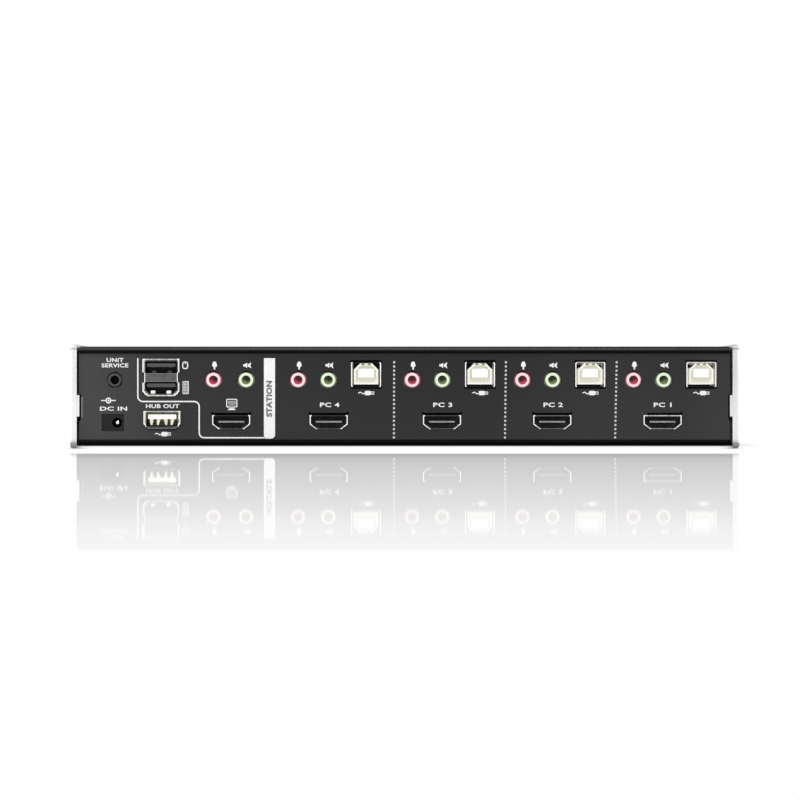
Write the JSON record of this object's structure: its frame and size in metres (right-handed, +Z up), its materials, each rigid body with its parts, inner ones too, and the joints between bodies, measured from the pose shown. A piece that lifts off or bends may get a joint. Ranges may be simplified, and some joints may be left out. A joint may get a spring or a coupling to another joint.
{
  "type": "kvm switch",
  "caption": "Desktop switch box with a black steel case and silver side rails, with computer, screen, audio and USB sockets on one side and push buttons on the other.",
  "frame": {"origin": "under the middle of the box, on the surface that it stands on", "axes": "+X to the right as the connector side is faced, +Y from the connector side to the button side, +Z up"},
  "size_m": [0.264, 0.152, 0.0412],
  "materials": {
    "case_black": "satin black powder paint on folded steel",
    "panel_black": "satin charcoal paint with white print",
    "rail_silver": "satin silver",
    "bezel_gloss": "gloss black moulding",
    "board_green": "green solder mask on glass epoxy board",
    "fixing_steel": "zinc plated steel",
    "screw_black": "black zinc plated steel",
    "link_black": "moulded black nylon",
    "chip_black": "moulded epoxy",
    "can_aluminium": "plain aluminium can",
    "shell_nickel": "nickel plated pressed shell",
    "insert_black": "black moulded contact carrier",
    "insert_white": "ivory moulded contact carrier",
    "jack_pink": "pink moulded jack",
    "jack_green": "lime green moulded jack",
    "jack_black": "black moulding",
    "pin_nickel": "nickel plated pin",
    "button_grey": "silver grey moulded cap",
    "plunger_black": "black moulded plunger",
    "lens_clear": "clear moulded light pipe",
    "lamp_white": "surface mounted lamp"
  },
  "bodies": {
    "case": {"base_tray": "case_black", "board_link": "link_black", "board_screws": "fixing_steel", "board_spacers": "fixing_steel", "board_standoffs": "fixing_steel", "button_switches": "link_black", "capacitors": "can_aluminium", "case_screws": "screw_black", "controller_chips": "chip_black", "dc_jack": "jack_black", "dc_jack_pin": "pin_nickel", "front_bezel": "bezel_gloss", "front_board": "board_green", "front_link": "link_black", "front_mic_jack": "jack_pink", "front_speaker_jack": "jack_green", "front_usb_shell": "shell_nickel", "hdmi_inserts": "insert_black", "hdmi_shell_1": "shell_nickel", "hdmi_shell_2": "shell_nickel", "hdmi_shell_3": "shell_nickel", "hdmi_shell_4": "shell_nickel", "hdmi_shell_console": "shell_nickel", "hub_usb_inserts": "insert_white", "hub_usb_shell": "shell_nickel", "indicator_lamps": "lamp_white", "indicator_lenses": "lens_clear", "left_side_rail": "rail_silver", "main_board": "board_green", "mic_jack_1": "jack_pink", "mic_jack_2": "jack_pink", "mic_jack_3": "jack_pink", "mic_jack_4": "jack_pink", "mic_jack_console": "jack_pink", "rear_panel": "panel_black", "right_side_rail": "rail_silver", "service_jack": "jack_black", "speaker_jack_1": "jack_green", "speaker_jack_2": "jack_green", "speaker_jack_3": "jack_green", "speaker_jack_4": "jack_green", "speaker_jack_console": "jack_green", "top_cover": "case_black", "upper_board": "board_green", "usb_b_inserts": "insert_white", "usb_b_shell_1": "shell_nickel", "usb_b_shell_2": "shell_nickel", "usb_b_shell_3": "shell_nickel", "usb_b_shell_4": "shell_nickel", "usb_stack_insert": "insert_black", "usb_stack_shell": "shell_nickel", "video_switch_chip": "chip_black"},
    "port_button_1": {"port_button_1": "button_grey", "switch_plunger_1": "plunger_black"},
    "port_button_2": {"port_button_2": "button_grey", "switch_plunger_2": "plunger_black"},
    "port_button_3": {"port_button_3": "button_grey", "switch_plunger_3": "plunger_black"},
    "port_button_4": {"port_button_4": "button_grey", "switch_plunger_4": "plunger_black"}
  },
  "joints": [
    {"name": "port_button_1_press", "type": "slide", "parent": "case", "child": "port_button_1", "axis": [0, -1, 0], "range_m": [0, 0.0008], "stiffness_N_per_m": 600, "springref_m": -0.0015},
    {"name": "port_button_2_press", "type": "slide", "parent": "case", "child": "port_button_2", "axis": [0, -1, 0], "range_m": [0, 0.0008], "stiffness_N_per_m": 600, "springref_m": -0.0015},
    {"name": "port_button_3_press", "type": "slide", "parent": "case", "child": "port_button_3", "axis": [0, -1, 0], "range_m": [0, 0.0008], "stiffness_N_per_m": 600, "springref_m": -0.0015},
    {"name": "port_button_4_press", "type": "slide", "parent": "case", "child": "port_button_4", "axis": [0, -1, 0], "range_m": [0, 0.0008], "stiffness_N_per_m": 600, "springref_m": -0.0015}
  ]
}
